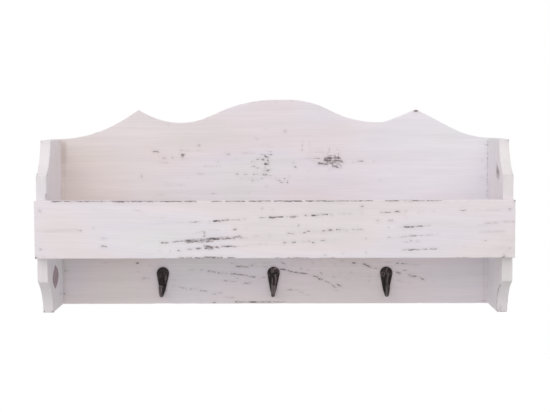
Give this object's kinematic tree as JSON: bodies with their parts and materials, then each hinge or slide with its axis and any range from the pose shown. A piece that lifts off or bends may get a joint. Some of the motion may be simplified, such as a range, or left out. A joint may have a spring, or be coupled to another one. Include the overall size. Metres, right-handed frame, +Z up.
{
  "type": "wall shelf with hooks",
  "caption": "Whitewashed wooden wall rack with a scalloped back, coved sides, a shelf behind a plain front board, and dark cast hooks below.",
  "frame": {"origin": "on the wall face of the back panel, midway between the two keyholes and level with their entry holes", "axes": "+X to the right seen from the front, +Y into the wall, +Z up; the front faces -Y"},
  "size_m": [0.6, 0.128, 0.2744],
  "materials": {
    "whitewashed_wood": "thin white wash over sawn softwood, rubbed through to dark flecks",
    "antique_iron": "dark antique lacquer, worn a little on its ridges",
    "dark_screw": "blackened steel",
    "nail_steel": "dull steel brads, partly under the wash",
    "zinc_plate": "zinc plated"
  },
  "bodies": {
    "root": {"back_panel": "whitewashed_wood", "left_side": "whitewashed_wood", "right_side": "whitewashed_wood", "front_board": "whitewashed_wood", "shelf_board": "whitewashed_wood", "front_board_nails": "nail_steel", "left_side_nails": "nail_steel", "right_side_nails": "nail_steel", "shelf_back_nails": "nail_steel", "hook_left": "antique_iron", "hook_left_screws": "dark_screw", "hook_centre": "antique_iron", "hook_centre_screws": "dark_screw", "hook_right": "antique_iron", "hook_right_screws": "dark_screw", "hanger_left": "zinc_plate", "hanger_left_screws": "zinc_plate", "hanger_right": "zinc_plate", "hanger_right_screws": "zinc_plate"}
  },
  "joints": []
}
